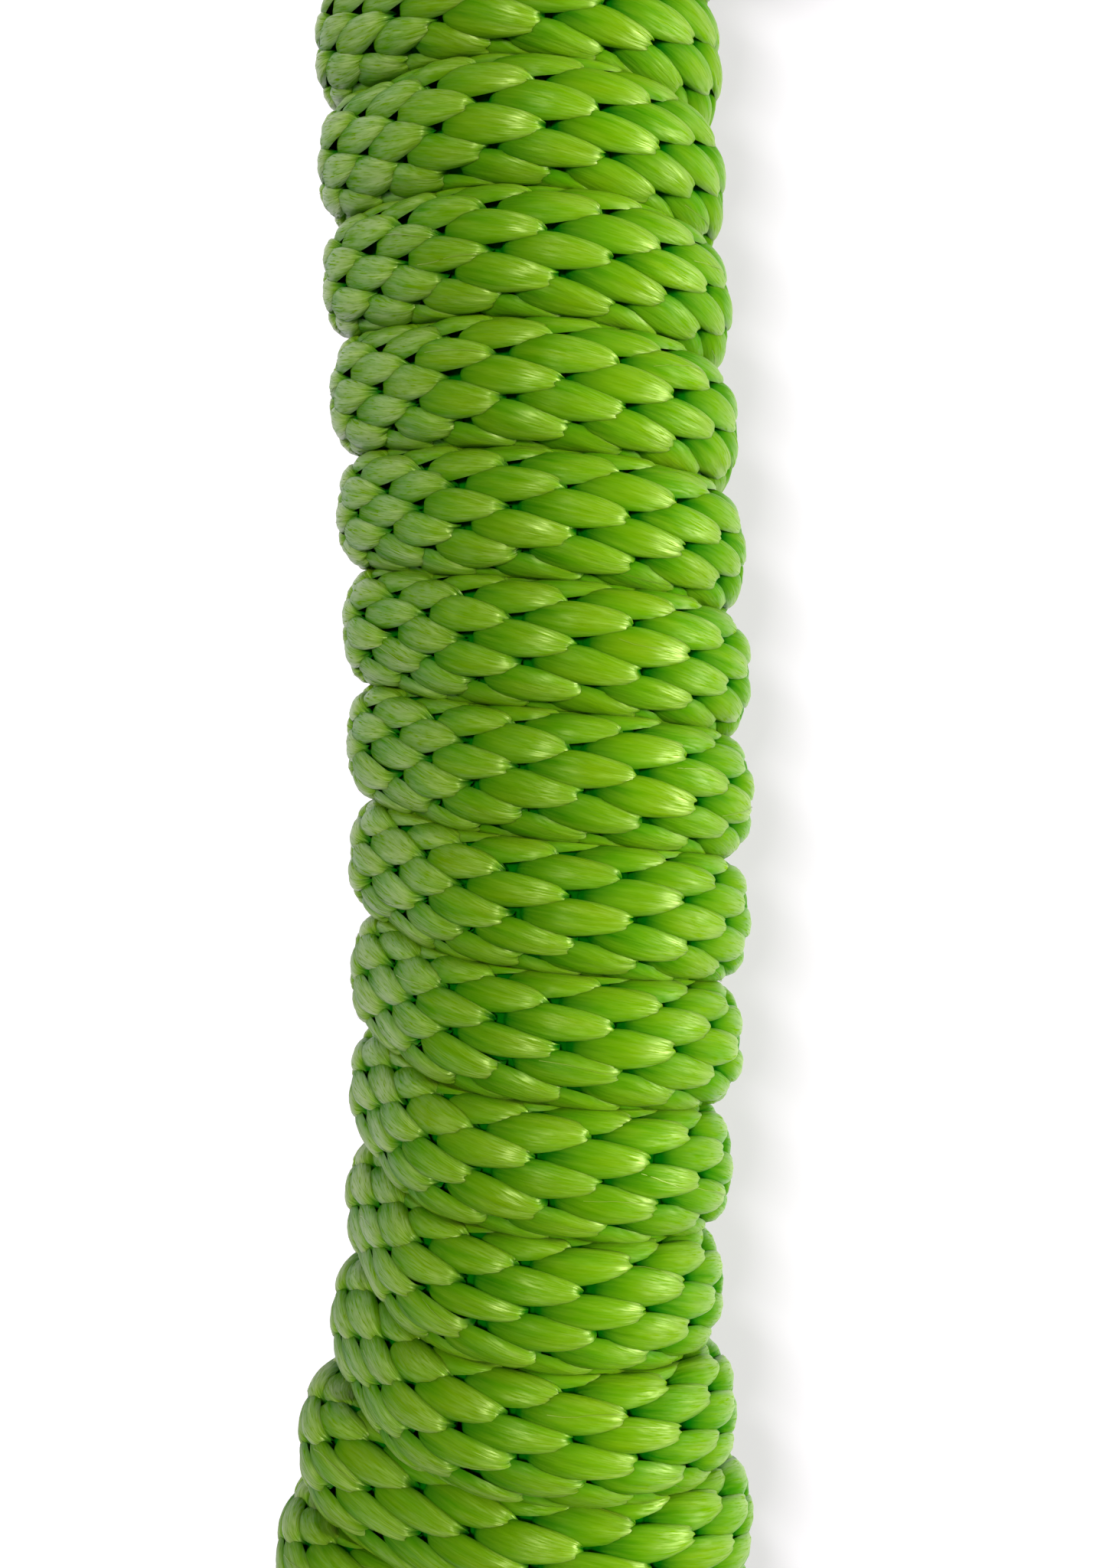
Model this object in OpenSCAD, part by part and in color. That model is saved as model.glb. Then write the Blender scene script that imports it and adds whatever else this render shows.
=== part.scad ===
/* [Rope] */
// Diameter of the rope
rope_d = 10; // [8:0.5:12]
// Gap between two strands that lie side by side
strand_gap = 0.5; // [0.4:0.05:0.8]

/* [Winding] */
// Whole turns wound round the two legs
turns = 15; // [8:1:22]
// Gap between one turn and the next
turn_gap = 0.6; // [0.6:0.05:1.2]
// How far the wound column bows to one side
bow = 3; // [0:0.5:6]
// Length over which the two legs open out towards the eye
flare_len = 40; // [36:1:60]
// How far each leg moves outwards at the eye's end of the column
flare_width = 0.9; // [0:0.1:2]
// Roll of the pair of legs where the column is slimmest, in degrees
slim_roll = 72; // [60:1:80]
// Roll of the pair of legs along the rest of the column, in degrees
steady_roll = 57; // [45:1:70]

/* [Tails] */
// Play between the ball and the cup where a tail bends
flex_gap = 0.6; // [0.4:0.1:1]
// How far the rim of a cup stands back from the bend's centre
rim_back = 3.2; // [2.8:0.1:3.4]

/* [Rope ends] */
// Length of the blank band shrunk on each end
band_len = 18; // [10:1:20]
// Wall of the band
band_wall = 0.6; // [0.4:0.1:1]
// Space between the rope and the band
band_fit = 0.05; // [0.02:0.01:0.1]
// Rope left bare between the band and the sealed tip
bare_len = 2; // [1:0.5:5]
// Length of the sealed tip
tip_len = 3; // [2:0.5:5]
// How far the sealed tip stands proud of the rope
tip_lip = 0.3; // [0:0.1:0.5]

/* [Hidden] */

rope_r = rope_d / 2;
// From the middle of one strand to the middle of the strand beside it
pair = rope_d + strand_gap;
// The turns lie on the ground on a flat this deep
foot_cut = rope_d / 10;

// Winding: angles are counted round the column's axis, from +X towards +Z
loop_rings = 24;
wrap_sides = 6;
ring_step = 360 / loop_rings;
low_angle = 120;
high_angle = 360;
wrap_rings = turns * loop_rings + (high_angle - low_angle) / ring_step;
loop_len = 2 * PI * pair + 2 * pair;
// The pitch leaves turn_gap across the slope of the turns
pitch = (rope_d + turn_gap) / cos(atan((rope_d + turn_gap) / loop_len));
// The middle turn touches the ground at the origin
foot_turns = floor(turns / 2) + (270 - low_angle) / 360;
y_low = -pitch * foot_turns;
y_high = y_low + pitch * wrap_rings / loop_rings;
bow_wave = 75;
settle_len = 54;

// Free rope: ten-sided tubes with a ring at each point of their route
rope_sides = 10;
leg_step = 1.8 * rope_d;
flare_step = 0.8 * rope_d;

// Routes, in rope diameters: across, along and up, from the column's end at ground level
EYE_HALF = [
    [0.75, -0.65, 1.45], [1.1, -1.65, 1.46], [1.5, -2.8, 1.47], [1.6, -3.55, 1.48],
    [1.4, -4.35, 1.49], [0.8, -4.95, 1.49]
];
EYE_CROWN = [0, -5.15, 1.49];
FOLD = [
    [0.3, 0.7, 2.55], [0.4, 1.2, 2.9], [0.8, 1.5, 3.4], [1.25, 1.4, 3.7],
    [1.6, 1.1, 3.75], [1.8, 0.7, 3.55], [1.8, 0.35, 3.2]
];
TUCK = [
    [0.75, -0.45, 2.5], [0.9, -0.95, 2.55], [0.85, -1.5, 2.5], [0.7, -2, 2.35],
    [0.5, -2.6, 2.05], [0.35, -3.15, 1.6], [0.2, -3.65, 1.1], [0.1, -4.15, 0.75],
    [0.05, -4.7, 0.55], [0, -5.2, 0.5], [0, -5.7, 0.5]
];
WORKING_INNER = [[0, -5.7, 0.5], [0.2, -6.8, 0.52], [0.5, -7.85, 0.55], [0.9, -8.9, 0.57]];
WORKING_OUTER = [[0.9, -8.9, 0.57], [1.35, -10, 0.57], [2.25, -12.2, 0.57]];
STANDING_STUB = [[-0.3, 0.6, 1.41], [-0.35, 1.3, 1.27]];
STANDING_INNER = [[-0.35, 1.3, 1.27], [-0.5, 2.4, 0.97], [-0.7, 3.4, 0.73], [-1, 4.5, 0.6]];
STANDING_OUTER = [[-1, 4.5, 0.6], [-1.4, 5.6, 0.57], [-2.25, 7.9, 0.57]];

// Headings of the rope where one piece hands over to the next
STUB_HEADING = [-0.1, 1, -0.23];
STANDING_BEND = [-0.33, 1, -0.06];
TUCK_HEADING = [0.08, -1, 0];
WORKING_BEND = [0.4, -1, 0];

function ease(t) = let (u = max(0, min(1, t))) u * u * (3 - 2 * u);
function unit(v) = v / norm(v);

// The column: its axis, and the pair of legs that it is wound on
function roll(y) =
    let (h = y - y_low)
    h < flare_len
        ? slim_roll * ease(h / flare_len)
        : slim_roll + (steady_roll - slim_roll) * ease((h - flare_len) / settle_len);
function spread(y) = pair / 2 + flare_width * (1 - ease((y - y_low) / flare_len));
function axis_x(y) = -bow * (1 - cos(180 * y / bow_wave)) / 2;
function axis_z(y) = pair + rope_r - foot_cut + spread(y) * abs(sin(roll(y)));
function leg(y, side) = [
    axis_x(y) + side * spread(y) * cos(roll(y)),
    y,
    axis_z(y) + side * spread(y) * sin(roll(y))
];

// A turn bears on the legs over this width each way, so it stands off where they twist
bearing = 0.7 * rope_r;
function stand_off(y) =
    let (twist = abs(roll(y + bearing) - roll(y - bearing)) / 2)
        spread(y) * twist * PI / 180;

// The turns follow a band drawn tight round both legs: two flats and two round ends
function wrap_radius(a, s, off) =
    abs(sin(a)) * s >= abs(cos(a)) * off
        ? off / abs(sin(a))
        : s * abs(cos(a)) + sqrt(off * off - pow(s * sin(a), 2));
function wrap(angle) =
    let (
        y = y_low + pitch * (angle - low_angle) / 360,
        r = wrap_radius(angle - roll(y), spread(y), pair + stand_off(y))
    )
    [axis_x(y) + r * cos(angle), y, axis_z(y) + r * sin(angle)];
function wrap_heading(angle) = unit(wrap(angle + 0.5) - wrap(angle - 0.5));

// One ring of a turn: flat outside and inside, with an edge towards each neighbour
function wrap_ring(c, heading) =
    let (
        out = unit([heading.z, 0, -heading.x]),
        along = cross(out, heading)
    )
    [
        for (p = [[1, 0.5], [0, 1], [-1, 0.5], [-1, -0.5], [0, -1], [1, -0.5]])
            let (q = c + rope_r * (p.x * out + p.y * along))
                [q.x, q.y, max(0, q.z)]
    ];

wound_first = wrap(low_angle) - rope_d * wrap_heading(low_angle);
top_angle = low_angle + wrap_rings * ring_step;
wound_last = wrap(top_angle) + rope_d * wrap_heading(top_angle);
WOUND = concat(
    [wrap_ring(wound_first, wrap_heading(low_angle))],
    [
        for (i = [0 : wrap_rings])
            let (a = low_angle + i * ring_step) wrap_ring(wrap(a), wrap_heading(a))
    ],
    [wrap_ring(wound_last, wrap_heading(top_angle))]
);

// Least distance from a point of one turn to the edges of the next turn
function to_edge(p, a, b) =
    let (t = max(0, min(1, (p - a) * (b - a) / ((b - a) * (b - a))))) norm(p - a - t * (b - a));
wound_gap = min([
    for (i = [1 : len(WOUND) - loop_rings - 4], k = [0 : wrap_sides - 1], m = [-1 : 1])
        let (j = i + loop_rings + m)
            min([
                for (e = [0 : wrap_sides - 1])
                    min(
                        to_edge(WOUND[i][k], WOUND[j][e], WOUND[j + 1][e]),
                        to_edge(WOUND[j][e], WOUND[i][k], WOUND[i + 1][k])
                    )
            ])
]);
echo(least_gap_between_turns = wound_gap);

function flat(rings) = [for (r = rings) each r];

// Side faces between rings, and a fan at each end
function skin_faces(n, sides) = concat(
    [for (k = [0 : sides - 1]) [0, 1 + (k + 1) % sides, 1 + k]],
    [
        for (i = [0 : n - 2], k = [0 : sides - 1])
            let (a = 1 + i * sides + k, b = 1 + i * sides + (k + 1) % sides)
                each [[a, b, a + sides], [b, b + sides, a + sides]]
    ],
    [
        for (k = [0 : sides - 1])
            let (a = 1 + (n - 1) * sides)
                [a + k, a + (k + 1) % sides, n * sides + 1]
    ]
);

module skin(rings, first, last) {
    polyhedron(
        points = concat([first], flat(rings), [last]),
        faces = skin_faces(len(rings), len(rings[0]))
    );
}

// One ring of free rope, square to its heading
function ring(c, heading, r) =
    let (
        h = unit(heading),
        across = unit(cross(h, [0, 0, 1])),
        up = cross(across, h)
    )
    [
        for (k = [0 : rope_sides - 1])
            let (a = 360 * k / rope_sides) c + r * (cos(a) * across + sin(a) * up)
    ];
function heading_at(route, i, first, last) =
    i == 0 ? first : i == len(route) - 1 ? last : route[i + 1] - route[i - 1];
function tube_rings(route, first, last) = [
    for (i = [0 : len(route) - 1]) ring(route[i], heading_at(route, i, first, last), rope_r)
];

// A bend between two lengths of rope: a ball on one end turns in a cup in the other
dome_rings = 3;
cup_r = rope_r + flex_gap;
rim_angle = asin(rim_back / cup_r);
function ball_rings(c, heading) = [
    for (i = [dome_rings - 1 : -1 : 1])
        let (a = 90 * i / dome_rings)
            ring(c - rope_r * sin(a) * unit(heading), heading, rope_r * cos(a))
];
function cup_rings(c, heading) = concat(
    [ring(c - rim_back * unit(heading), heading, rope_r)],
    [
        for (i = [0 : dome_rings - 1])
            let (a = rim_angle + (90 - rim_angle) * i / dome_rings)
                ring(c - cup_r * sin(a) * unit(heading), heading, cup_r * cos(a))
    ]
);

// Rope from a flat end to a cup at the last point of the route
module cupped_rope(route, first, last) {
    n = len(route);
    body = tube_rings(route, first, last);
    skin(
        concat([for (i = [0 : n - 2]) body[i]], cup_rings(route[n - 1], last)),
        route[0],
        route[n - 1] - cup_r * unit(last)
    );
}

// Rope from a ball at the first point of the route to a cup at the last
module linked_rope(route, first, last) {
    n = len(route);
    body = tube_rings(route, first, last);
    skin(
        concat(
            ball_rings(route[0], first),
            [for (i = [0 : n - 2]) body[i]],
            cup_rings(route[n - 1], last)
        ),
        route[0] - rope_r * unit(first),
        route[n - 1] - cup_r * unit(last)
    );
}

// Rope from a ball at the first point of the route to a flat cut end
module ended_rope(route, first, last) {
    skin(
        concat(ball_rings(route[0], first), tube_rings(route, first, last)),
        route[0] - rope_r * unit(first),
        route[len(route) - 1]
    );
}

// Rope with two flat ends
module plain_rope(route, first, last) {
    skin(tube_rings(route, first, last), route[0], route[len(route) - 1]);
}

function placed(route, y_end) = [
    for (p = route) [axis_x(y_end) + rope_d * p.x, y_end + rope_d * p.y, rope_d * p.z]
];
function evenly(from, to, step) =
    let (n = ceil((to - from) / step)) [for (i = [0 : n - 1]) from + (to - from) * i / n];
// Rings sit closer together where the legs twist fast
leg_ys = concat(
    evenly(y_low, y_low + flare_len, flare_step),
    evenly(y_low + flare_len, y_high, leg_step),
    [y_high]
);
function leg_route(side) = [for (y = leg_ys) leg(y, side)];
function reversed(list) = [for (i = [len(list) - 1 : -1 : 0]) list[i]];

standing_outer_route = placed(STANDING_OUTER, y_high);
working_outer_route = placed(WORKING_OUTER, y_low);

// Moves what is made along +Z to the cut end of a tail, pointing out of the rope
module at_end(route) {
    end = route[len(route) - 1];
    heading = unit(end - route[len(route) - 2]);
    translate(end)
        rotate([0, acos(heading.z), atan2(heading.y, heading.x)])
            children();
}

module end_band(route) {
    through = band_len / 10;
    at_end(route)
        translate([0, 0, -bare_len - band_len])
            difference() {
                cylinder(r = rope_r + band_fit + band_wall, h = band_len, $fn = 64);
                translate([0, 0, -through])
                    cylinder(r = rope_r + band_fit, h = band_len + 2 * through, $fn = 64);
            }
}

module end_tip(route) {
    at_end(route)
        rotate_extrude($fn = 64)
            intersection() {
                square([rope_r + tip_lip, tip_len]);
                translate([0, tip_len / 2])
                    scale([1, tip_len / 2 / (rope_r + tip_lip)])
                        circle(r = rope_r + tip_lip, $fn = 64);
            }
}

module standing_end_tip() {
    color("darkolivegreen") end_tip(standing_outer_route);
}

module standing_end_band() {
    color("dimgray") end_band(standing_outer_route);
}

module standing_tail_outer() {
    color("yellowgreen")
        ended_rope(standing_outer_route, STANDING_BEND, STANDING_OUTER[2] - STANDING_OUTER[1]);
}

module standing_tail_inner() {
    color("olivedrab") linked_rope(placed(STANDING_INNER, y_high), STUB_HEADING, STANDING_BEND);
}

module standing_leg() {
    color("limegreen")
        cupped_rope(
            concat(leg_route(-1), placed(STANDING_STUB, y_high)),
            [0, 1, 0],
            STUB_HEADING
        );
}

module eye() {
    left = [for (p = EYE_HALF) [-p.x, p.y, p.z]];
    color("yellowgreen")
        plain_rope(
            concat(
                [leg(y_low, -1)],
                placed(concat(left, [EYE_CROWN], reversed(EYE_HALF)), y_low),
                [leg(y_low, 1)]
            ),
            [0, -1, 0],
            [0, 1, 0]
        );
}

module returning_leg() {
    color("forestgreen")
        plain_rope(leg_route(1), [0, 1, 0], [0, 1, 0]);
}

module fold() {
    color("olivedrab")
        plain_rope(
            concat([leg(y_high, 1)], placed(FOLD, y_high), [wound_last]),
            [0, 1, 0],
            -wrap_heading(top_angle)
        );
}

module winding() {
    color("yellowgreen") skin(WOUND, wound_first, wound_last);
}

module tuck() {
    color("olivedrab")
        cupped_rope(
            concat([wound_first], placed(TUCK, y_low)),
            -wrap_heading(low_angle),
            TUCK_HEADING
        );
}

module working_tail_inner() {
    color("limegreen") linked_rope(placed(WORKING_INNER, y_low), TUCK_HEADING, WORKING_BEND);
}

module working_tail_outer() {
    color("yellowgreen")
        ended_rope(working_outer_route, WORKING_BEND, WORKING_OUTER[2] - WORKING_OUTER[1]);
}

module working_end_band() {
    color("dimgray") end_band(working_outer_route);
}

module working_end_tip() {
    color("darkolivegreen") end_tip(working_outer_route);
}

standing_end_tip();
standing_end_band();
standing_tail_outer();
standing_tail_inner();
standing_leg();
eye();
returning_leg();
fold();
winding();
tuck();
working_tail_inner();
working_tail_outer();
working_end_band();
working_end_tip();
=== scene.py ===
import bpy
import numpy as np
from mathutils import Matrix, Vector


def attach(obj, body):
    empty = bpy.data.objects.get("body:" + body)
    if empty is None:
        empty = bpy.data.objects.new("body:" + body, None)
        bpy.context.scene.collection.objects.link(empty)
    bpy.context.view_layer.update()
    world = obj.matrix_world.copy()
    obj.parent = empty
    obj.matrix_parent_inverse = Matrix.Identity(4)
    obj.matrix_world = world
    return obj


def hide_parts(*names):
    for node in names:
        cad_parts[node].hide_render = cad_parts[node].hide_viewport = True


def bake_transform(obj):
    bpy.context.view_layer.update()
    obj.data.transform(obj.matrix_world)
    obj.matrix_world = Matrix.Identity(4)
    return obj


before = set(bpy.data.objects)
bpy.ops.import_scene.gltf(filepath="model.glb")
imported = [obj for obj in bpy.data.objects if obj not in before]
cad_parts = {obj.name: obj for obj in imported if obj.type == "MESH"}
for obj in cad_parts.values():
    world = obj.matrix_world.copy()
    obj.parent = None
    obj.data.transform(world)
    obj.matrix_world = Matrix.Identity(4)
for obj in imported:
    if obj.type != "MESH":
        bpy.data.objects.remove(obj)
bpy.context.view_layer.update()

# ---------------------------------------------------------------------------
# The rope's way through the hank. It is one unbroken length of solid-braid rope.
# It is laid down as two legs joined by an eye, turned over in a fold, wound
# tightly round both legs, and put through the eye, which holds it.
# ---------------------------------------------------------------------------
rope_d = 0.010
tiny = 1e-9

# The two legs lie side by side, roll about each other and spread towards the eye
pair = 0.0105
foot_flat = rope_d / 10
bow, bow_wave = 0.003, 0.075
flare_len, settle_len, flare_width = 0.040, 0.054, 0.0009
slim_roll, steady_roll = 72.0, 57.0

# The turns: whole ones, the angles where the last comes off and the first goes
# on, and the space between them. The middle turn lies on the ground.
turns = 15
low_angle, high_angle, underside = 120.0, 360.0, 270
turn_gap = 0.0006
loop_len = 2 * np.pi * pair + 2 * pair
pitch = (rope_d + turn_gap) / np.cos(np.arctan((rope_d + turn_gap) / loop_len))
wrap_angle = turns * 360 + high_angle - low_angle
y_low = -pitch * (turns // 2 + (underside - low_angle) / 360)
y_high = y_low + pitch * wrap_angle / 360
bearing = 0.35 * rope_d

# Free stretches, in rope diameters from the column's end at ground level
EYE_HALF = [
    (0.75, -0.65, 1.45), (1.1, -1.65, 1.46), (1.5, -2.8, 1.47), (1.6, -3.55, 1.48),
    (1.4, -4.35, 1.49), (0.8, -4.95, 1.49),
]
EYE_CROWN = (0, -5.15, 1.49)
FOLD = [
    (0.3, 0.7, 2.55), (0.4, 1.2, 2.9), (0.8, 1.5, 3.4), (1.25, 1.4, 3.7),
    (1.6, 1.1, 3.75), (1.8, 0.7, 3.55), (1.8, 0.35, 3.2),
]
TUCK = [
    (0.75, -0.45, 2.5), (0.9, -0.95, 2.55), (0.85, -1.5, 2.5), (0.7, -2, 2.35),
    (0.5, -2.6, 2.05), (0.35, -3.15, 1.6), (0.2, -3.65, 1.1), (0.1, -4.15, 0.75),
    (0.05, -4.7, 0.55), (0, -5.2, 0.5), (0, -5.7, 0.5),
]
WORKING_INNER = [(0, -5.7, 0.5), (0.2, -6.8, 0.52), (0.5, -7.85, 0.55), (0.9, -8.9, 0.57)]
WORKING_OUTER = [(0.9, -8.9, 0.57), (1.35, -10, 0.57), (2.25, -12.2, 0.57)]
STANDING_STUB = [(-0.3, 0.6, 1.41), (-0.35, 1.3, 1.27)]
STANDING_INNER = [(-0.35, 1.3, 1.27), (-0.5, 2.4, 0.97), (-0.7, 3.4, 0.73), (-1, 4.5, 0.6)]
STANDING_OUTER = [(-1, 4.5, 0.6), (-1.4, 5.6, 0.57), (-2.25, 7.9, 0.57)]


def ease(t):
    t = np.clip(t, 0, 1)
    return t * t * (3 - 2 * t)


def roll(y):
    """How far the pair of legs is rolled about the column's axis."""
    h = y - y_low
    flared = slim_roll * ease(h / flare_len)
    settled = slim_roll + (steady_roll - slim_roll) * ease((h - flare_len) / settle_len)
    return np.radians(np.where(h < flare_len, flared, settled))


def spread(y):
    """From the column's axis to the middle of a leg."""
    return pair / 2 + flare_width * (1 - ease((y - y_low) / flare_len))


def axis_x(y):
    return -bow * (1 - np.cos(np.pi * y / bow_wave)) / 2


def axis_z(y):
    return pair + rope_d / 2 - foot_flat + spread(y) * np.abs(np.sin(roll(y)))


def leg(y, side):
    """The middle of the leg on that side, -1 or 1."""
    y = np.asarray(y, float)
    return np.stack([
        axis_x(y) + side * spread(y) * np.cos(roll(y)),
        y,
        axis_z(y) + side * spread(y) * np.sin(roll(y)),
    ], -1)


def wrap(angle):
    """The middle of the turns: round each leg, and straight from one to the other."""
    angle = np.asarray(angle, float)
    y = y_low + pitch * (angle - low_angle) / 360
    a, s = np.radians(angle) - roll(y), spread(y)
    # Where the legs twist, the turn that bears on them stands off by the twist
    off = pair + s * np.abs(roll(y + bearing) - roll(y - bearing)) / 2
    flat = off / np.maximum(np.abs(np.sin(a)), tiny)
    round_end = s * np.abs(np.cos(a)) + np.sqrt(np.maximum(off**2 - (s * np.sin(a)) ** 2, 0))
    r = np.where(np.abs(np.sin(a)) * s >= np.abs(np.cos(a)) * off, flat, round_end)
    return np.stack([
        axis_x(y) + r * np.cos(np.radians(angle)), y, axis_z(y) + r * np.sin(np.radians(angle)),
    ], -1)


def placed(route, y_end):
    """A free stretch in metres, at the column's end."""
    return np.array(route) * rope_d + [axis_x(y_end), y_end, 0]


def distance_along(points):
    """How far along the line each of its points lies."""
    return np.r_[0, np.cumsum(np.linalg.norm(np.diff(points, axis=0), axis=1))]


line_step, finer = 0.0005, 4
soften_reach, soften_width = 8, 3.5


def run(points):
    """A smooth line through the points, at an even step, softened a little."""
    knot = distance_along(points)
    slope = np.gradient(points, knot, axis=0)
    at = np.arange(0, knot[-1], line_step / finer)
    i = np.clip(np.searchsorted(knot, at, "right") - 1, 0, len(knot) - 2)
    h = (knot[i + 1] - knot[i])[:, None]
    t = (at - knot[i])[:, None] / h
    line = (
        (2 * t**3 - 3 * t**2 + 1) * points[i] + (t**3 - 2 * t**2 + t) * h * slope[i]
        + (3 * t**2 - 2 * t**3) * points[i + 1] + (t**3 - t**2) * h * slope[i + 1]
    )
    s = distance_along(line)
    even = np.linspace(0, s[-1], int(s[-1] / line_step))
    line = np.stack([np.interp(even, s, line[:, k]) for k in range(3)], 1)
    shifts = np.arange(-soften_reach, soften_reach + 1)
    weights = np.exp(-0.5 * (shifts / soften_width) ** 2)
    padded = np.pad(line, ((soften_reach, soften_reach), (0, 0)), mode="reflect", reflect_type="odd")
    softened = 0
    for shift, weight in zip(shifts, weights):
        softened = softened + weight * padded[soften_reach + shift:len(line) + soften_reach + shift]
    return softened / weights.sum()


leg_points, wrap_step = 13, 7.5
leg_ys = np.linspace(y_low, y_high, leg_points)
standing = np.vstack([
    placed(STANDING_OUTER, y_high)[::-1], placed(STANDING_INNER, y_high)[::-1][1:],
    placed(STANDING_STUB, y_high)[::-1][1:],
])
eye_points = placed([(-x, y, z) for x, y, z in EYE_HALF] + [EYE_CROWN] + EYE_HALF[::-1], y_low)
wound = wrap(np.arange(low_angle, low_angle + wrap_angle + 1, wrap_step))[::-1]
working = np.vstack([
    placed(TUCK, y_low), placed(WORKING_INNER, y_low)[1:], placed(WORKING_OUTER, y_low)[1:],
])
rope_line = run(np.vstack([
    standing, leg(leg_ys[::-1], -1), eye_points, leg(leg_ys, 1), placed(FOLD, y_high), wound, working,
]))
rope_s = distance_along(rope_line)


def nearest_s(point, after=0.0):
    """How far along the rope the point lies, looked for past a given length."""
    d = np.linalg.norm(rope_line - np.asarray(point), axis=1)
    return float(rope_s[np.where(rope_s >= after, d, np.inf).argmin()])


leg_len, most_of_winding = 0.17, 1.0
s_leg = nearest_s(leg(y_high, -1))
s_eye = nearest_s(leg(y_low, -1), s_leg)
s_back = nearest_s(leg(y_low, 1), s_eye)
s_wound = nearest_s(wound[0], s_back + leg_len)
s_tuck = nearest_s(wound[-1], s_wound + most_of_winding)
s_end = float(rope_s[-1])

# ---------------------------------------------------------------------------
# The braid. Eighteen strands of bright lime filament yarn are braided solid over
# a few filler yarns. A strand shows as a plump stitch, dives and comes up again;
# rows next to each other are half a stitch apart, and each laps the next.
# ---------------------------------------------------------------------------
rows = 18
crown = 0.00532
stitch_len, stitch_reach = 0.0124, 0.96
grid_u, grid_v = 20, 10
rng = np.random.default_rng(7)

# A frame goes along with the rope without turning about it. The rows creep
# slowly round it, in radians a metre: faster where the rope was wound on.
rope_ahead = np.gradient(rope_line, rope_s, axis=0)
rope_ahead /= np.linalg.norm(rope_ahead, axis=1)[:, None]
rope_side = np.zeros_like(rope_ahead)
rope_side[0] = np.cross(rope_ahead[0], [1, 0, 0])
for i in range(1, len(rope_ahead)):
    carried = rope_side[i - 1] - rope_ahead[i] * (rope_side[i - 1] @ rope_ahead[i])
    rope_side[i] = carried / np.linalg.norm(carried)
rope_over = np.cross(rope_ahead, rope_side)
wound_creep, loose_creep = -13.0, -6.0
wound_here = (rope_s > s_wound) & (rope_s < s_tuck)
rope_creep = np.r_[0, np.cumsum(np.where(wound_here, wound_creep, loose_creep)[1:] * np.diff(rope_s))]

# Stitches pack closer in a bend, because the braid can't stretch on its outside
wound_pack, wound_squeeze = 1.0, 0.0080
loose_pack, loose_squeeze = 1.24, 0.0060
bend = np.linalg.norm(np.gradient(rope_ahead, rope_s, axis=0), axis=1)
pack = np.where(wound_here, wound_pack + bend * wound_squeeze, loose_pack + bend * loose_squeeze)
rope_lay = np.r_[0, np.cumsum(pack[1:] * np.diff(rope_s))]

# A stitch from where it comes up to where it dives: place along it, half its
# width, and how far its crown lies under the highest stitch, in millimetres
STITCH = np.array([
    (0.00, 0.80, 1.90), (0.03, 0.95, 1.20), (0.07, 1.12, 0.75), (0.13, 1.30, 0.46), (0.25, 1.50, 0.23),
    (0.40, 1.58, 0.10), (0.52, 1.50, 0.03), (0.64, 1.33, 0.00), (0.76, 1.12, 0.01), (0.86, 0.90, 0.09),
    (0.92, 0.74, 0.22), (0.96, 0.60, 0.45), (1.00, 0.42, 1.50),
])
smooth_over, past_ends, fine_places = 7, 0.06, 113
fine_u = np.linspace(-past_ends, 1 + past_ends, fine_places)


def profile(column):
    """A column of the table in metres, at even places and smoothed."""
    rough = np.interp(fine_u, STITCH[:, 0], STITCH[:, column] / 1000)
    return np.convolve(rough, np.full(smooth_over, 1 / smooth_over), "valid")


profile_u = fine_u[smooth_over // 2:-(smooth_over // 2)]
profile_width, profile_sunk = profile(1), profile(2)


def along(s, table):
    """What the table of the rope says at s."""
    return np.stack([np.interp(s, rope_s, table[:, k]) for k in range(table.shape[1])], -1)


trace_step, rounding = 0.002, 1e-6


def every_step(s_from, s_to):
    """Places along the rope, two millimetres apart, from s_from to s_to."""
    return np.arange(s_from, s_to + rounding, trace_step)


# Inside the winding the turns press each other: from this far in, over this length
press_from, press_over = 0.01, 0.02
squareness = 2.6
widened = 1.10
turn_clear, ground_clear = 0.00003, 0.00002


def in_wind(s):
    """0 on the free rope, 1 in the winding, eased at both its ends."""
    return ease((s - s_wound - press_from) / press_over) * ease((s_tuck - press_from - s) / press_over)


def pressed(spot, middle, s, widen=widened):
    """Turns that lie side by side press each other squarer, and flat where they meet."""
    off = spot - middle
    side = np.abs(off[..., 1]) / np.linalg.norm(off, axis=-1)
    fill = (side**squareness + (1 - side**2) ** (squareness / 2)) ** (-1 / squareness)
    moved = off * fill[..., None]
    moved[..., 1] = np.clip(widen * moved[..., 1], turn_clear - pitch / 2, pitch / 2 - turn_clear)
    spot = middle + off + (moved - off) * in_wind(s)[..., None]
    spot[..., 2] = np.maximum(spot[..., 2], ground_clear)
    return spot


def stitch_places(s_from, s_to):
    """The row of each stitch between s_from and s_to, and its place in the lay."""
    lay_from, lay_to = np.interp([s_from, s_to], rope_s, rope_lay)
    # At the rope's two cut ends the last stitches are cut through
    if s_from <= 0:
        lay_from -= stitch_len / 2
    if s_to >= s_end:
        lay_to += stitch_len / 2
    row, place = [], []
    for k in range(rows):
        shift = 0.5 * (k % 2) + k / rows
        j = np.arange(np.ceil(lay_from / stitch_len - shift), np.ceil(lay_to / stitch_len - shift))
        row.append(np.full(len(j), k))
        place.append((j + shift) * stitch_len)
    return np.concatenate(row), np.concatenate(place)


# The stitch's grid is closer at its ends and edges, where it curves most
end_gather, edge_gather = 0.09, 0.85
even_u, even_v = np.linspace(0, 1, grid_u + 1), np.linspace(-1, 1, grid_v + 1)
stitch_u, stitch_v = np.meshgrid(
    even_u - end_gather * np.sin(2 * np.pi * even_u),
    np.sign(even_v) * np.abs(even_v) ** edge_gather, indexing="ij",
)
dome_power, dome_depth = 2.4, 0.38
# It lies at a slight slant, in degrees, and wider where two turns squeeze it
slant, slant_reach = 2.0, 1.2
squeezed_wider, squeezed_power = 0.30, 4
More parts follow.
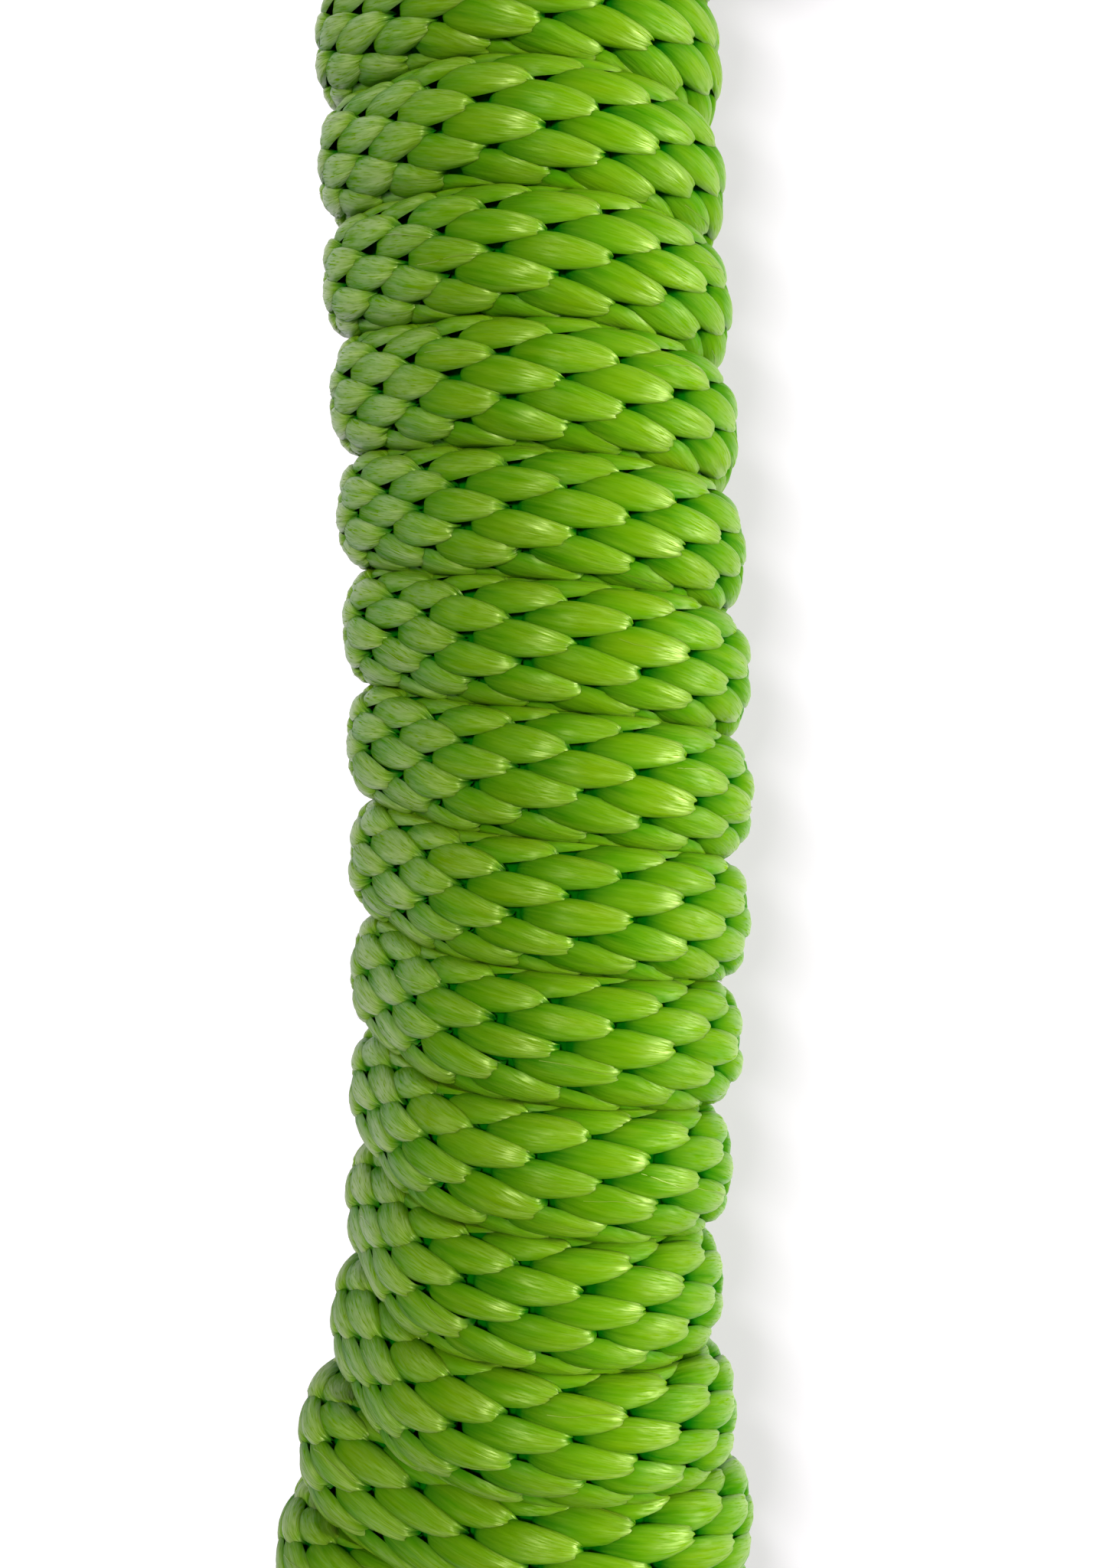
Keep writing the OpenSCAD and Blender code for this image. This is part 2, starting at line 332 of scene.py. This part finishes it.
# Each stitch is its own: how far its width, slant, crown and place go off
width_off, slant_off, crown_off, place_off = 0.05, 1.0, 0.00005, 0.015
# Its tip is ragged, and its plies stand up as fine ridges
ragged, ragged_from, ragged_waves, waves_off, any_phase = 0.022, 0.5, 6.0, 2.0, 6.0
ply_height, ply_waves, ply_slant = 0.00003, 9.0, 1.3


def stitches(row, place, shrink):
    """The skin of each stitch as a grid of spots, with the rope's middle and the
    height above it, before the turns press it."""
    u, v = stitch_u, stitch_v
    chances = rng.normal(0, 1, (len(row), 6)).T[..., None, None]
    width_odd, slant_odd, crown_odd, waves_odd, place_odd, ply_odd = chances
    frayed = u + ragged * np.interp(u, (ragged_from, 1), (0, 1)) * np.cos(
        (ragged_waves + waves_off * waves_odd) * v + any_phase * place_odd
    )
    width, sunk = np.interp(u, profile_u, profile_width), np.interp(frayed, profile_u, profile_sunk)
    dome = np.sqrt(np.clip(1 - np.abs(v) ** dome_power, 0, 1))
    half = width * (1 + width_off * width_odd)
    skew = np.radians(slant + slant_off * slant_odd) * (u - 0.5) * stitch_len * slant_reach
    ply = ply_height * np.cos(ply_waves * (v - ply_slant * u) + any_phase * ply_odd)
    r = crown + crown_off * crown_odd - sunk - (1 - dome) * dome_depth * width + ply * dome
    lay = place[:, None, None] + ((u - 0.5) * stitch_reach + place_off * place_odd) * stitch_len
    s = np.interp(lay, rope_lay, rope_s)
    angle = np.radians(360 / rows) * row[:, None, None] + np.interp(s, rope_s, rope_creep)
    middle, side, over = along(s, rope_line), along(s, rope_side), along(s, rope_over)
    # Stitches squeezed between two turns spread wider
    between = np.abs(np.cos(angle) * side[..., 1] + np.sin(angle) * over[..., 1])
    half = half * (1 + squeezed_wider * between**squeezed_power * in_wind(s))
    angle = angle + (half * v + skew) / crown
    for a, b, share in shrink:
        r = r * np.where((s > a) & (s < b), share, 1)
    spot = middle + r[..., None] * (np.cos(angle)[..., None] * side + np.sin(angle)[..., None] * over)
    return pressed(spot, middle, s), middle, r


filler_r, filler_sides = 0.0036, 16


def filler(ring_s):
    """The filler yarns: a plain tube that closes the view between the stitches."""
    ring = np.linspace(0, 2 * np.pi, filler_sides, endpoint=False)
    middle, side, over = (along(ring_s, table)[:, None] for table in (rope_line, rope_side, rope_over))
    tube = middle + filler_r * (np.cos(ring)[None, :, None] * side + np.sin(ring)[None, :, None] * over)
    return pressed(tube, middle, ring_s[:, None] + 0 * ring, pitch / (2 * filler_r))


hair_share, hair_points = 0.13, 9
# Where a hair runs: by share of the stitch's length, and by steps of its grid across
hair_from, hair_to = 0.35, 0.97
across_from, across_to, hair_wander = 2, 8, 2.2
hair_stand, hair_least, hair_lift, hair_half = 0.00015, 0.4, 0.00002, 0.000025


def hairs(spot, middle):
    """Loose filaments: one stitch in eight has sprung a hair, which stands off a
    little and wanders over to the side."""
    sprung = np.flatnonzero(rng.random(len(spot)) < hair_share)
    each = (len(sprung), 1)
    hair_i = np.linspace(hair_from, hair_to, hair_points)[None] * grid_u * np.ones(each)
    hair_j = rng.uniform(across_from, across_to, each)
    hair_j = hair_j + rng.normal(0, hair_wander, each) * np.linspace(-1, 1, hair_points)
    hair_i, hair_j = np.rint(hair_i).astype(int), np.clip(np.rint(hair_j), 0, grid_v).astype(int)
    pick = (sprung[:, None], hair_i, hair_j)
    outwards = spot - middle
    outwards /= np.linalg.norm(outwards, axis=-1, keepdims=True)
    outwards = outwards[pick]
    stand = hair_stand * np.sin(np.linspace(0, np.pi, hair_points)) * rng.uniform(hair_least, 1, each)
    hair = spot[pick] + outwards * (stand[..., None] + hair_lift)
    hair[:, 1:-1] = (hair[:, :-2] + 2 * hair[:, 1:-1] + hair[:, 2:]) / 4
    wide = np.cross(outwards, np.gradient(hair, axis=1))
    wide *= hair_half / np.maximum(np.linalg.norm(wide, axis=-1, keepdims=True), tiny)
    hair = np.stack([hair - wide, hair + wide], 2)
    hair[..., 2] = np.maximum(hair[..., 2], ground_clear)
    return hair, pick


def braid_quads(stitch_count, ring_count, hair_count):
    """The faces of the stitches, of the filler and of the hairs, in that order."""
    stride = (grid_u + 1) * (grid_v + 1)
    i, j = np.meshgrid(np.arange(grid_u), np.arange(grid_v), indexing="ij")
    corner = (i * (grid_v + 1) + j).ravel()
    grid = np.stack([corner, corner + grid_v + 1, corner + grid_v + 2, corner + 1], -1)
    skins = (grid[None] + (np.arange(stitch_count) * stride)[:, None, None]).reshape(-1, 4)

    tube_base = stitch_count * stride
    i, j = np.meshgrid(np.arange(ring_count - 1), np.arange(filler_sides), indexing="ij")
    following = (j + 1) % filler_sides
    tube = tube_base + np.stack([
        i * filler_sides + j, i * filler_sides + following,
        (i + 1) * filler_sides + following, (i + 1) * filler_sides + j,
    ], -1).reshape(-1, 4)

    hair_base = tube_base + ring_count * filler_sides
    k, i = np.meshgrid(np.arange(hair_count), np.arange(hair_points - 1), indexing="ij")
    corner = hair_base + (k * hair_points + i).ravel() * 2
    strips = np.stack([corner, corner + 1, corner + 3, corner + 2], -1)
    return np.vstack([skins, tube, strips]), tube_base, hair_base


# Filaments cross the stitch at this slant. The holes get painted shade from this depth on.
# The filler and the hairs take the colour of these places in the stitch.
filament_slant = 0.8
deep_over = 0.0010
filler_u, hair_u = 0.5, 0.9


def braid(name, s_from, s_to, shrink=()):
    """One stretch of the rope, from s_from to s_to, with the filler under its stitches."""
    row, place = stitch_places(s_from, s_to)
    spot, middle, r = stitches(row, place, shrink)
    ring_s = every_step(s_from, s_to)
    tube = filler(ring_s)
    hair, pick = hairs(spot, middle)
    points = np.vstack([spot.reshape(-1, 3), tube.reshape(-1, 3), hair.reshape(-1, 3)])
    quads, tube_base, hair_base = braid_quads(len(row), len(ring_s), len(hair))
    mesh = bpy.data.meshes.new(name)
    mesh.vertices.add(len(points))
    mesh.vertices.foreach_set("co", points.astype(np.float32).ravel())
    mesh.loops.add(quads.size)
    mesh.loops.foreach_set("vertex_index", quads.astype(np.int32).ravel())
    mesh.polygons.add(len(quads))
    mesh.polygons.foreach_set("loop_start", np.arange(0, quads.size, 4, dtype=np.int32))
    mesh.polygons.foreach_set("use_smooth", np.ones(len(quads), bool))

    # What the yarn's look needs: place in the stitch, a number for each stitch, 1
    # at the crown down to 0 in the holes, which sets their painted shade, and which way
    # the filaments run
    tale = np.zeros((len(points), 3), np.float32)
    tale[:tube_base, 0] = np.broadcast_to(stitch_u, r.shape).ravel()
    tale[:tube_base, 1] = np.broadcast_to(stitch_v, r.shape).ravel()
    tale[:tube_base, 2] = np.broadcast_to(rng.random(len(row))[:, None, None], r.shape).ravel()
    tale[tube_base:, 0] = filler_u
    tale[hair_base:, 0] = hair_u
    # The filler keeps 0, so it is all in the painted shade of the holes; the hairs get 1
    deep = np.zeros(len(points), np.float32)
    deep[hair_base:] = 1
    deep[:tube_base] = np.clip(1 - (crown - r.ravel()) / deep_over, 0, 1)
    runs = np.gradient(spot, axis=1) * grid_u + filament_slant * np.gradient(spot, axis=2) * grid_v / 2
    runs = runs / np.maximum(np.linalg.norm(runs, axis=-1, keepdims=True), tiny)
    fibre = np.zeros((len(points), 3), np.float32)
    fibre[:tube_base] = runs.reshape(-1, 3)
    fibre[tube_base:hair_base] = np.repeat(along(ring_s, rope_ahead), filler_sides, axis=0)
    fibre[hair_base:] = np.repeat(runs[pick].reshape(-1, 3), 2, axis=0)
    mesh.attributes.new("stitch", "FLOAT_VECTOR", "POINT").data.foreach_set("vector", tale.ravel())
    mesh.attributes.new("fibre", "FLOAT_VECTOR", "POINT").data.foreach_set("vector", fibre.ravel())
    mesh.attributes.new("deep", "FLOAT", "POINT").data.foreach_set("value", deep)
    mesh.update()
    mesh.validate()
    made = bpy.data.objects.new(name, mesh)
    bpy.context.collection.objects.link(made)
    mesh.materials.append(yarn)
    return made


def declared(s_from, s_to, turned=False):
    points = along(every_step(s_from, s_to), rope_line)
    if turned:
        points = points[::-1]


# The yarn: bright lime filament. Each stitch is a bundle of fine parallel
# filaments that cross it at a slant, with the satin sheen that they give.
yarn = bpy.data.materials.new("lime_yarn")
yarn.use_nodes = True
yarn_tree = yarn.node_tree
yarn_tree.nodes.clear()
yarn_out = yarn_tree.nodes.new("ShaderNodeOutputMaterial")
yarn_skin = yarn_tree.nodes.new("ShaderNodeBsdfPrincipled")
yarn_tree.links.new(yarn_skin.outputs["BSDF"], yarn_out.inputs["Surface"])

# Painted light along a stitch, by place: painted shade at its root, where it comes up
# from under its neighbours, to a painted highlight at its bright tip
painted_shade_to_highlight = (
    (0.15, (0.008, 0.110, 0.000)), (0.42, (0.074, 0.262, 0.000)), (0.66, (0.136, 0.326, 0.001)),
    (0.95, (0.235, 0.402, 0.012)),
)
olive = (0.150, 0.285, 0.000, 1)
streak_green = (0.235, 0.415, 0.012, 1)
# Painted shade of the holes and of the filler
painted_hole_shade = (0.002, 0.150, 0.002, 1)


def feed(tree, socket, value):
    """Links the socket to another one, or gives it a plain value."""
    if hasattr(value, "links"):
        tree.links.new(value, socket)
    else:
        socket.default_value = value


def math_node(tree, operation, *values):
    node = tree.nodes.new("ShaderNodeMath")
    node.operation = operation
    for socket, value in zip(node.inputs, values):
        feed(tree, socket, value)
    return node.outputs[0]


def mix_node(tree, factor, a, b):
    node = tree.nodes.new("ShaderNodeMix")
    node.data_type = "RGBA"
    for socket, value in ((node.inputs[0], factor), (node.inputs[6], a), (node.inputs[7], b)):
        feed(tree, socket, value)
    return node.outputs[2]


def ramp_node(tree, factor, stops):
    node = tree.nodes.new("ShaderNodeValToRGB")
    tree.links.new(factor, node.inputs[0])
    while len(node.color_ramp.elements) < len(stops):
        node.color_ramp.elements.new(0.5)
    for element, (at, colour) in zip(node.color_ramp.elements, stops):
        element.position, element.color = at, (*colour, 1)
    return node.outputs[0]


def told(tree, key, output):
    """What the mesh tells of each spot under that key."""
    node = tree.nodes.new("ShaderNodeAttribute")
    node.attribute_name = key
    return node.outputs[output]


stitch_parts = yarn_tree.nodes.new("ShaderNodeSeparateXYZ")
yarn_tree.links.new(told(yarn_tree, "stitch", "Vector"), stitch_parts.inputs[0])
place_along, place_across, chance = stitch_parts.outputs
out_of_holes = told(yarn_tree, "deep", "Fac")


def streaks(across, scale_along, scale_across, detail, seed):
    """Noise drawn out along the stitch, and new for each stitch."""
    at = yarn_tree.nodes.new("ShaderNodeCombineXYZ")
    yarn_tree.links.new(math_node(yarn_tree, "MULTIPLY", place_along, scale_along), at.inputs[0])
    yarn_tree.links.new(math_node(yarn_tree, "MULTIPLY", across, scale_across), at.inputs[1])
    yarn_tree.links.new(math_node(yarn_tree, "MULTIPLY", chance, seed), at.inputs[2])
    noise = yarn_tree.nodes.new("ShaderNodeTexNoise")
    yarn_tree.links.new(at.outputs[0], noise.inputs["Vector"])
    noise.inputs["Scale"].default_value = 1.0
    noise.inputs["Detail"].default_value = detail
    return noise.outputs[0]


# The filaments fan a little: they cross the stitch at a slant
fanned = math_node(yarn_tree, "MULTIPLY", place_along, filament_slant)
across = math_node(yarn_tree, "SUBTRACT", place_across, fanned)
plies = streaks(across, scale_along=2.0, scale_across=3.0, detail=2.0, seed=91.0)
filaments = streaks(across, scale_along=4.5, scale_across=9.0, detail=3.0, seed=57.0)
patches = streaks(place_across, scale_along=1.2, scale_across=0.8, detail=1.0, seed=23.0)
flecks = streaks(across, scale_along=7.0, scale_across=11.0, detail=3.0, seed=35.0)

# Colour: painted shade to painted highlight along the stitch, olive here and there,
# painted streaks of lit filaments, and the painted shade of the holes
place_share, patch_share = 0.8, 0.25
olive_gain, olive_from = 2.0, -0.75
ply_light, filament_light, streak_from = 0.9, 0.5, -0.45
painted_light_along = math_node(yarn_tree, "MULTIPLY", place_along, place_share)
patch_tone = math_node(yarn_tree, "MULTIPLY", patches, patch_share)
body = ramp_node(yarn_tree, math_node(yarn_tree, "ADD", painted_light_along, patch_tone), painted_shade_to_highlight)
olive_share = math_node(yarn_tree, "MULTIPLY_ADD", patches, olive_gain, olive_from)
body = mix_node(yarn_tree, olive_share, body, olive)
filament_lit = math_node(yarn_tree, "MULTIPLY_ADD", filaments, filament_light, streak_from)
lit = math_node(yarn_tree, "MULTIPLY_ADD", plies, ply_light, filament_lit)
streaked = mix_node(yarn_tree, lit, body, streak_green)
shaded = mix_node(yarn_tree, out_of_holes, painted_hole_shade, streaked)
yarn_tree.links.new(shaded, yarn_skin.inputs["Base Color"])

# Relief: plies, and finer filaments on them
filament_relief = 0.45
bump = yarn_tree.nodes.new("ShaderNodeBump")
bump.inputs["Strength"].default_value = 0.45
bump.inputs["Distance"].default_value = 0.0002
fine_relief = math_node(yarn_tree, "MULTIPLY", filaments, filament_relief)
yarn_tree.links.new(math_node(yarn_tree, "ADD", plies, fine_relief), bump.inputs["Height"])
yarn_tree.links.new(bump.outputs[0], yarn_skin.inputs["Normal"])
yarn_tree.links.new(told(yarn_tree, "fibre", "Vector"), yarn_skin.inputs["Tangent"])

# Satin: flecks of light that gather towards the tip and follow the plies
tip_power, tip_shine = 2.8, 1.7
fleck_gain, fleck_from = 5.5, -1.95
ply_gain, ply_from = 3.8, -0.95
tip_place = math_node(yarn_tree, "POWER", place_along, tip_power)
tipward = math_node(yarn_tree, "MULTIPLY", tip_place, tip_shine)
fleck_shine = math_node(yarn_tree, "MULTIPLY_ADD", flecks, fleck_gain, fleck_from)
fleck_shine = math_node(yarn_tree, "MAXIMUM", fleck_shine, 0.0)
ply_shine = math_node(yarn_tree, "MULTIPLY_ADD", plies, ply_gain, ply_from)
ply_shine = math_node(yarn_tree, "MAXIMUM", ply_shine, 0.0)
broken = math_node(yarn_tree, "MULTIPLY", fleck_shine, ply_shine)
shine = math_node(yarn_tree, "MULTIPLY", tipward, broken)
shine = math_node(yarn_tree, "MULTIPLY", out_of_holes, shine)
yarn_tree.links.new(shine, yarn_skin.inputs["Specular IOR Level"])
yarn_skin.inputs["Subsurface Weight"].default_value = 0.45
yarn_skin.inputs["Subsurface Radius"].default_value = (0.7, 1.0, 0.1)
yarn_skin.inputs["Subsurface Scale"].default_value = 0.0010
yarn_skin.inputs["Roughness"].default_value = 0.39
yarn_skin.inputs["Anisotropic"].default_value = 0.80
yarn_skin.inputs["Anisotropic Rotation"].default_value = 0.25
yarn_skin.inputs["Specular Tint"].default_value = (0.84, 1.0, 0.36, 1)
yarn_skin.inputs["Sheen Weight"].default_value = 0.01
yarn_skin.inputs["Sheen Roughness"].default_value = 0.4
yarn_skin.inputs["Sheen Tint"].default_value = (0.45, 1.0, 0.12, 1)

# ---------------------------------------------------------------------------
# The standing tail and leg: the free end that the hank is tightened by. The same
# limp rope comes out of the column's top and lies down along the ground. It is
# made in two pieces.
# ---------------------------------------------------------------------------
standing_bend_near, standing_bend_far = placed(STANDING_INNER, y_high)[[0, -1]]
s_bend_near, s_bend_far = nearest_s(standing_bend_near), nearest_s(standing_bend_far)
# The two pieces meet a little outside the bend
split_off = 0.0065
s_split = s_bend_near - split_off
# The shrunk-on band squeezes the braid between these distances from the cut end
band_inner, band_outer, band_squeeze = 0.0205, 0.0015, 0.95


standing_far = braid(
    "standing_tail_far_braid", 0.0, s_split, shrink=[(band_outer, band_inner, band_squeeze)]
)
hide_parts("standing_tail_outer", "standing_tail_inner")
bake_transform(standing_far)
declared(0.0, s_split, turned=True)

standing_near = braid("standing_leg_braid", s_split, s_eye)
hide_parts("standing_leg")
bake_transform(standing_near)
declared(s_split, s_eye)

# ---------------------------------------------------------------------------
# The eye: the bight of the same rope that the two legs make below the column. It
# is held open by the working end, which goes down through it and out under its
# crown.
# ---------------------------------------------------------------------------
eye_braid = braid("eye_braid", s_eye, s_back)
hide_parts("eye")
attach(eye_braid, "hank")
declared(s_eye, s_back)

# ---------------------------------------------------------------------------
# The returning leg and the fold: the rope runs up inside the turns, comes out at
# the top, and folds over by hand into the first turn, which grips it.
# ---------------------------------------------------------------------------
back_braid = braid("returning_leg_and_fold_braid", s_back, s_wound)
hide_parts("returning_leg", "fold")
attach(back_braid, "hank")
declared(s_back, s_wound)

# ---------------------------------------------------------------------------
# The winding: nearly sixteen tight turns of the same rope round both legs, pulled
# close against each other by hand. It is made here in five lengths of some three
# turns each. The legs inside it and the eye hold it.
# ---------------------------------------------------------------------------
winding_lengths = 5
cuts = np.linspace(s_wound, s_tuck, winding_lengths + 1)
for number, (a, b) in enumerate(zip(cuts, cuts[1:]), 1):
    turns_braid = braid(f"winding_braid_{number}", a, b)
    if number == 1:
        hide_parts("winding")
    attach(turns_braid, "hank")
    declared(a, b)

# ---------------------------------------------------------------------------
# The tuck and the working tail: the same rope comes off the last turn, goes over
# the legs, down through the eye and out along the ground. It is made in two
# pieces.
# ---------------------------------------------------------------------------
working_bend_near, working_bend_far = placed(WORKING_INNER, y_low)[[0, -1]]
w_bend_near, w_bend_far = nearest_s(working_bend_near, s_tuck), nearest_s(working_bend_far, s_tuck)
w_split = w_bend_near + split_off

tuck_braid = braid("tuck_braid", s_tuck, w_split)
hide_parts("tuck")
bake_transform(tuck_braid)
declared(s_tuck, w_split)

working_far = braid(
    "working_tail_far_braid", w_split, s_end,
    shrink=[(s_end - band_inner, s_end - band_outer, band_squeeze)],
)
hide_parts("working_tail_inner", "working_tail_outer")
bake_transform(working_far)
declared(w_split, s_end)

# ---------------------------------------------------------------------------
# The blank bands: short sleeves of charcoal plastic, shrunk on with heat near
# each end, so that the ends are easy to find.
# ---------------------------------------------------------------------------
charcoal, band_roughness = (0.035, 0.036, 0.038, 1), 0.5


def plain_coat(name, colour, roughness, pieces):
    """A plain material in place of what the pieces have."""
    coat = bpy.data.materials.new(name)
    coat.use_nodes = True
    skin = coat.node_tree.nodes["Principled BSDF"]
    skin.inputs["Base Color"].default_value = colour
    skin.inputs["Roughness"].default_value = roughness
    for piece in pieces:
        materials = bpy.data.objects[piece].data.materials
        materials.clear()
        materials.append(coat)


plain_coat("charcoal_band", charcoal, band_roughness, ("standing_end_band", "working_end_band"))

# ---------------------------------------------------------------------------
# The sealed tips: the rope's own cut ends, melted together with a hot knife into
# a hard, glassy cap.
# ---------------------------------------------------------------------------
melted_green, tip_roughness = (0.06, 0.13, 0.01, 1), 0.25
plain_coat("sealed_tip", melted_green, tip_roughness, ("standing_end_tip", "working_end_tip"))

# ---------------------------------------------------------------------------
# The ground: a sheet of matt white paper, laid flat. Where it is seen itself, it
# glows with painted light, a little brighter than its light makes it, and more so to the
# left of the rope, where the glow paints over the rope's shade, and far away, so that
# only the rope's shadow shows.
# ---------------------------------------------------------------------------
scene = bpy.context.scene
ground_half = 3
ground_mesh = bpy.data.meshes.new("ground")
ground_mesh.from_pydata(
    [(-ground_half, -ground_half, 0), (ground_half, -ground_half, 0),
     (ground_half, ground_half, 0), (-ground_half, ground_half, 0)],
    [], [(0, 1, 2, 3)],
)
ground = bpy.data.objects.new("ground", ground_mesh)
scene.collection.objects.link(ground)

paper = bpy.data.materials.new("paper")
paper.use_nodes = True
paper_tree = paper.node_tree
paper_skin = paper_tree.nodes["Principled BSDF"]
# The paper is pale grey with a touch of magenta and its glow a touch less green: painted light that takes out
# the green the rope throws on the paper beside it
paper_skin.inputs["Base Color"].default_value = (0.53, 0.51, 0.54, 1)
paper_skin.inputs["Roughness"].default_value = 0.9
paper_skin.inputs["Emission Color"].default_value = (1, 0.95, 1, 1)
ground_mesh.materials.append(paper)

far_from, far_to, far_glow = 0.12, 0.6, 0.7
left_edge, right_edge = -0.018, 0.0
left_glow, right_glow = 0.72, 0.42


def range_node(tree, value, from_min, from_max, to_min, to_max):
    node = tree.nodes.new("ShaderNodeMapRange")
    tree.links.new(value, node.inputs["Value"])
    node.inputs["From Min"].default_value = from_min
    node.inputs["From Max"].default_value = from_max
    node.inputs["To Min"].default_value = to_min
    node.inputs["To Max"].default_value = to_max
    return node.outputs["Result"]


def background_ray(tree):
    """1 for a ray that shows the background itself, straight, mirrored or through glass."""
    path = tree.nodes.new("ShaderNodeLightPath")
    shown = math_node(tree, "MAXIMUM", path.outputs["Is Camera Ray"], path.outputs["Is Glossy Ray"])
    return math_node(tree, "MAXIMUM", shown, path.outputs["Is Transmission Ray"])


paper_place = paper_tree.nodes.new("ShaderNodeNewGeometry").outputs["Position"]
paper_xyz = paper_tree.nodes.new("ShaderNodeSeparateXYZ")
paper_tree.links.new(paper_place, paper_xyz.inputs[0])
paper_away = paper_tree.nodes.new("ShaderNodeVectorMath")
paper_away.operation = "LENGTH"
paper_tree.links.new(paper_place, paper_away.inputs[0])
# Painted light: the glow is stronger left of the rope, over the shade it casts there, and grows far away
side_glow = range_node(paper_tree, paper_xyz.outputs["X"], left_edge, right_edge, left_glow, right_glow)
away_glow = range_node(paper_tree, paper_away.outputs["Value"], far_from, far_to, 0.0, far_glow)
paper_glow = math_node(paper_tree, "ADD", side_glow, away_glow)
paper_painted_glow = math_node(paper_tree, "MULTIPLY", paper_glow, background_ray(paper_tree))
paper_tree.links.new(paper_painted_glow, paper_skin.inputs["Emission Strength"])

# ---------------------------------------------------------------------------
# The room and its lamps: plain white walls that give a weak, even light, a soft
# box high up on the left, and a longer one low down on the right.
# ---------------------------------------------------------------------------
room_light, room_white = 0.20, 0.80
room = bpy.data.worlds.new("room")
room.use_nodes = True
room_walls = room.node_tree.nodes["Background"]
room_walls.inputs["Color"].default_value = (1, 1, 1, 1)
room_level = math_node(room.node_tree, "MULTIPLY_ADD", background_ray(room.node_tree), room_white, room_light)
room.node_tree.links.new(room_level, room_walls.inputs["Strength"])
scene.world = room


def soft_box(name, at, target, size, power):
    lamp = bpy.data.lights.new(name, "AREA")
    lamp.shape = "RECTANGLE"
    lamp.size, lamp.size_y = size
    lamp.energy = power
    made = bpy.data.objects.new(name, lamp)
    made.location = at
    made.rotation_mode = "QUATERNION"
    made.rotation_quaternion = (Vector(target) - Vector(at)).to_track_quat("-Z", "Y")
    scene.collection.objects.link(made)


soft_box("key", at=(-0.20, 0.12, 0.80), target=(0, 0, 0), size=(0.10, 0.20), power=4.2)
soft_box("right", at=(0.68, 0.0, 0.26), target=(0, 0, 0.02), size=(0.15, 0.46), power=6.4)

# ---------------------------------------------------------------------------
# The camera: it looks straight down on the middle of the column, from close by,
# so that the column runs out of its view at both ends.
# ---------------------------------------------------------------------------
sensor, view_angle = 36, 48.1
camera_data = bpy.data.cameras.new("camera")
camera_data.sensor_fit = "AUTO"
camera_data.sensor_width = sensor
camera_data.lens = sensor / 2 / np.tan(np.radians(view_angle / 2))
camera_data.clip_start, camera_data.clip_end = 0.005, 10
camera = bpy.data.objects.new("camera", camera_data)
camera.location = (0.0013, 0.0045, 0.179)
camera.rotation_euler = (0, 0, 0)
scene.collection.objects.link(camera)
scene.camera = camera
scene.view_settings.view_transform = "Standard"
